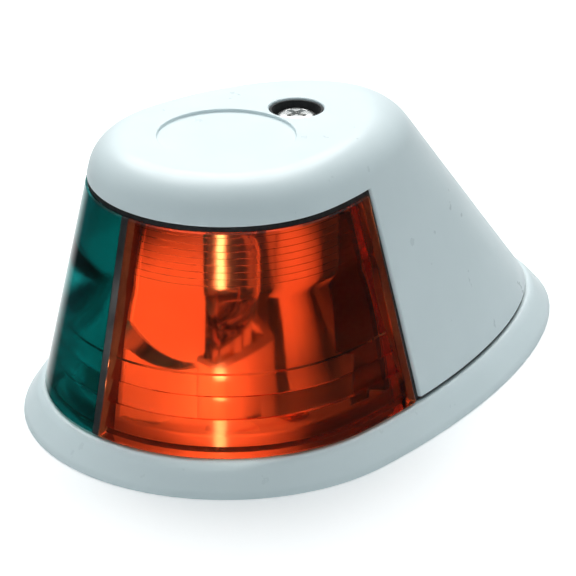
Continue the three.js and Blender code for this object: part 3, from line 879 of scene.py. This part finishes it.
def bulb_envelope():
    """Glass with real thickness: an outer face and an inner face turned inward."""
    parts = []
    for inset in (0, GLASS["wall"]):
        columns = []
        for i in range(64):
            angle = 2 * math.pi * i / 64
            column = []
            for half_x, half_y, z in bulb_sections(inset):
                flat = 1 if half_x > 0.8 * half_y else 0.35 + 0.65 * (half_x / max(half_y, 0.01))
                x = half_x * math.copysign(abs(math.sin(angle)) ** flat, math.sin(angle))
                y = -half_y * math.copysign(abs(math.cos(angle)) ** flat, math.cos(angle))
                column.append((x, y, z))
            columns.append(column)
        points, faces = skin(columns, wrap_columns=True)
        parts.append(mesh_object("bulb_envelope", points, faces, reverse=inset > 0))
    outer, inner = parts
    work = bmesh.new()
    work.from_mesh(outer.data)
    work.from_mesh(inner.data)
    work.to_mesh(outer.data)
    work.free()
    bpy.data.objects.remove(inner)
    shade(outer, 60)
    return finish_piece(outer, "bulb", CLEAR, "clear_glass", "bulb_glass")


def lead_wire(name, side, node):
    """One lead: folded up a face of the wedge, round its foot and up to the filament."""
    out, turn = LEAD["out"], LEAD["turn"]
    path = [(out, LEAD["fold_top"]), (out, 7), (out, turn)]
    for t in spread(0.2, math.pi - 0.2, 9):
        path.append((out / 2 * (1 + math.cos(t)), turn - out / 2 * math.sin(t)))
    path += [(0, turn), (0, 9), (0, 13), (0, 17), (0, LEAD["top"])]
    wire = tube(name, [(side * x, side * LEAD["y"], z) for x, z in path], LEAD["radius"])
    shade(wire, 60)
    return finish_piece(wire, "bulb", TINNED, "stainless", node)


def filament_coil():
    half, coil, wire, turns = LEAD["y"] - 0.1, 0.3, 0.07, 16
    path = []
    for t in spread(0, 1, turns * 12):
        angle = 2 * math.pi * turns * t
        centre_z = LEAD["top"] - 0.35 + 0.5 * math.sin(math.pi * t)
        path.append((coil * math.cos(angle), -half + 2 * half * t, centre_z + coil * math.sin(angle)))
    coil_piece = tube("filament_coil", path, wire, 6)
    shade(coil_piece, 80)
    return finish_piece(coil_piece, "bulb", TUNGSTEN, "tungsten", "bulb_filament")


# ================================================================ contacts and small CAD parts


def rivet(side, name, node):
    """A contact rivet through the floor: a flat head below and a domed one above."""
    head_bottom = FLOOR_TOP + 0.6
    head, shank = RIVET["head"], RIVET["shank"]
    profile = [(0, 0.55), (0.6, 0.6), (head * 0.9, 0.65), (head, 0.8), (head, 1.1)]
    profile += [(head - 0.1, 1.2), (shank, 1.2)]
    profile += [(shank, head_bottom), (head - 0.1, head_bottom), (head, head_bottom + 0.1)]
    for t in spread(0.15, math.pi / 2, 8):
        profile.append((head * math.cos(t), head_bottom + 0.1 + 0.9 * math.sin(t)))
    profile[-1] = (0, head_bottom + 1)
    piece = lathe(name, profile, side * RIVET["x"], 0, 40)
    shade(piece, 50)
    return finish_piece(piece, "base_unit", BRASS, "brass", node)


def dress_cad_nodes(names, material, width):
    """CAD nodes that keep their shape get a material and softened edges."""
    for name in names:
        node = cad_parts[name]
        node.data.materials.clear()
        node.data.materials.append(material)
        bevel(node, width, 2, 30)
        weigh_normals(node)


# ================================================================ building the light

base_moulding()
ring_seal("deck_gasket", 21.5, 26, 0.05, 1.95, "base_gasket")
ring_seal("foot_seal_ring", 24.5, 26.4, 3.45, 4.55, "foot_seal")
seam_shade_lip()
cover_shell()
lens_moulding("red_lens_moulding", 1, RED, "red_lens", "red_lens")
lens_moulding("green_lens_moulding", -1, GREEN, "green_lens", "green_lens")
lens_seal()
divider_strip()
upper_baffle()
screw_head()
screw_thread()
washer_and_seal()
bulb_envelope()
lead_wire("bulb_lead_aft_wire", 1, "bulb_lead_aft")
lead_wire("bulb_lead_fore_wire", -1, "bulb_lead_fore")
filament_coil()
rivet(1, "rivet_port", "contact_rivet_port")
rivet(-1, "rivet_stbd", "contact_rivet_stbd")
dress_cad_nodes(("cutoff_screen_port", "cutoff_screen_stbd"), SCREEN_BLACK, 0.15)
dress_cad_nodes(("bulb_holder",), WHITE, 0.3)
dress_cad_nodes(("contact_strip_port", "contact_strip_stbd"), BRASS, 0.06)
dress_cad_nodes(("blade_terminal_port", "blade_terminal_stbd"), BRASS, 0.06)


# ================================================================ floor, light and camera


def floor():
    """A pale floor with a painted pool of light that fades far off; its slight glow follows the same painted
    pool. It is kept out of reflections.
    """
    material, tree, shader = new_material("studio_floor")
    where = tree.nodes.new("ShaderNodeTexCoord")
    pool_distance = tree.nodes.new("ShaderNodeVectorMath")
    pool_distance.operation = "LENGTH"
    pool_centre = tree.nodes.new("ShaderNodeMapping")
    pool_centre.inputs["Location"].default_value = (0.06, -0.065, 0)
    tree.links.new(where.outputs["Object"], pool_centre.inputs["Vector"])
    tree.links.new(pool_centre.outputs["Vector"], pool_distance.inputs[0])
    # Painted pool of light: the floor's colour and glow fall from 0.9 to 0.3 with distance from a point
    # beside the light.
    painted_light_pool = ramp(tree, pool_distance.outputs["Value"], (0.9, 0.905, 0.91), (0.3, 0.305, 0.31), 0.17, 0.4)
    tint = ramp(tree, noise(tree, 12, 3), (0.97, 0.975, 0.98), (1.0, 1.0, 1.0))
    blend = tree.nodes.new("ShaderNodeMix")
    blend.data_type = "RGBA"
    blend.blend_type = "MULTIPLY"
    blend.inputs[0].default_value = 1
    tree.links.new(painted_light_pool, blend.inputs[6])
    tree.links.new(tint, blend.inputs[7])
    tree.links.new(blend.outputs[2], shader.inputs["Base Color"])
    tree.links.new(blend.outputs[2], shader.inputs["Emission Color"])
    tree.links.new(ramp(tree, noise(tree, 60, 3), 0.75, 0.9), shader.inputs["Roughness"])
    shader.inputs["Emission Strength"].default_value = 0.25
    half = FLOOR_HALF
    corners = [(-half, -half, 0), (half, -half, 0), (half, half, 0), (-half, half, 0)]
    mesh = bpy.data.meshes.new("floor")
    mesh.from_pydata(corners, [], [(0, 1, 2, 3)])
    mesh.materials.append(material)
    ground = bpy.data.objects.new("floor", mesh)
    bpy.context.scene.collection.objects.link(ground)
    ground.visible_glossy = False
    ground.visible_transmission = False


def aim_lamp(lamp, at, aim):
    lamp.location = Vector(at) * MM
    lamp.rotation_euler = (Vector(aim) - Vector(at)).to_track_quat("-Z", "Y").to_euler()
    bpy.context.scene.collection.objects.link(lamp)


def softbox(name, at, size, power, colour, aim=(0, 0, 0), glints_only=False):
    """A rectangular area lamp. With glints_only it reaches the camera through clear parts alone."""
    data = bpy.data.lights.new(name, "AREA")
    data.shape = "RECTANGLE"
    data.size, data.size_y = size[0] * MM, size[1] * MM
    data.energy = power
    data.color = colour
    lamp = bpy.data.objects.new(name, data)
    lamp.visible_diffuse = lamp.visible_glossy = not glints_only
    data.cycles.use_multiple_importance_sampling = not glints_only
    aim_lamp(lamp, at, aim)


def inside_spot(name, at, power, cone, aim):
    """A narrow beam, cone degrees across, that lights the inside and is never seen itself."""
    data = bpy.data.lights.new(name, "SPOT")
    data.shadow_soft_size = SPOT_RADIUS * MM
    data.energy = power
    data.color = SPOT_COLOUR
    data.spot_size = math.radians(cone)
    data.spot_blend = SPOT_BLEND
    lamp = bpy.data.objects.new(name, data)
    lamp.visible_glossy = lamp.visible_transmission = False
    aim_lamp(lamp, at, aim)


def studio_sky():
    """Bright overhead and dim at the sides, with a pale glow low down at the back."""
    world = bpy.data.worlds.new("studio")
    world.use_nodes = True
    tree = world.node_tree
    where = tree.nodes.new("ShaderNodeTexCoord")
    split = tree.nodes.new("ShaderNodeSeparateXYZ")
    tree.links.new(where.outputs["Generated"], split.inputs["Vector"])
    above = ramp(tree, split.outputs["Z"], (0.02, 0.03, 0.035), (0.54, 0.573, 0.584), 0.0, 0.9)
    stop = above.node.color_ramp.elements.new(0.02)
    stop.color = (0.09, 0.155, 0.175, 1)
    towards = tree.nodes.new("ShaderNodeVectorMath")
    towards.operation = "DOT_PRODUCT"
    towards.inputs[1].default_value = (-0.62, 0.66, -0.42)
    tree.links.new(where.outputs["Generated"], towards.inputs[0])
    glow = ramp(tree, towards.outputs["Value"], (0, 0, 0), (1, 1, 1), 0.8, 0.97)
    total = tree.nodes.new("ShaderNodeMix")
    total.data_type = "RGBA"
    total.blend_type = "ADD"
    total.inputs[0].default_value = 1
    tree.links.new(above, total.inputs[6])
    tree.links.new(glow, total.inputs[7])
    tree.links.new(total.outputs[2], tree.nodes["Background"].inputs["Color"])
    bpy.context.scene.world = world


def camera():
    data = bpy.data.cameras.new("camera")
    data.lens = CAMERA_LENS
    data.sensor_width = 36
    data.clip_start = 0.01
    eye = bpy.data.objects.new("camera", data)
    eye.location = Vector(CAMERA_AT) * MM
    eye.rotation_euler = (Vector(CAMERA_AIM) - Vector(CAMERA_AT)).to_track_quat("-Z", "Y").to_euler()
    bpy.context.scene.collection.objects.link(eye)
    bpy.context.scene.camera = eye


floor()
studio_sky()
for name, box in SOFTBOXES.items():
    softbox(name, **box)
for name, spot in INSIDE_SPOTS.items():
    inside_spot(name, **spot)
softbox("streak_lamp", **STREAK, aim=STREAK_AIM, glints_only=True)
camera()

# The lenses' shadow tint already lets lamp light in, so caustics would count it twice.
scene = bpy.context.scene
scene.cycles.caustics_refractive = False
scene.cycles.caustics_reflective = False
scene.cycles.max_bounces = 16
scene.cycles.transmission_bounces = 14
scene.cycles.transparent_max_bounces = 16
scene.cycles.sample_clamp_indirect = 6
scene.view_settings.view_transform = "Standard"
scene.view_settings.look = "None"
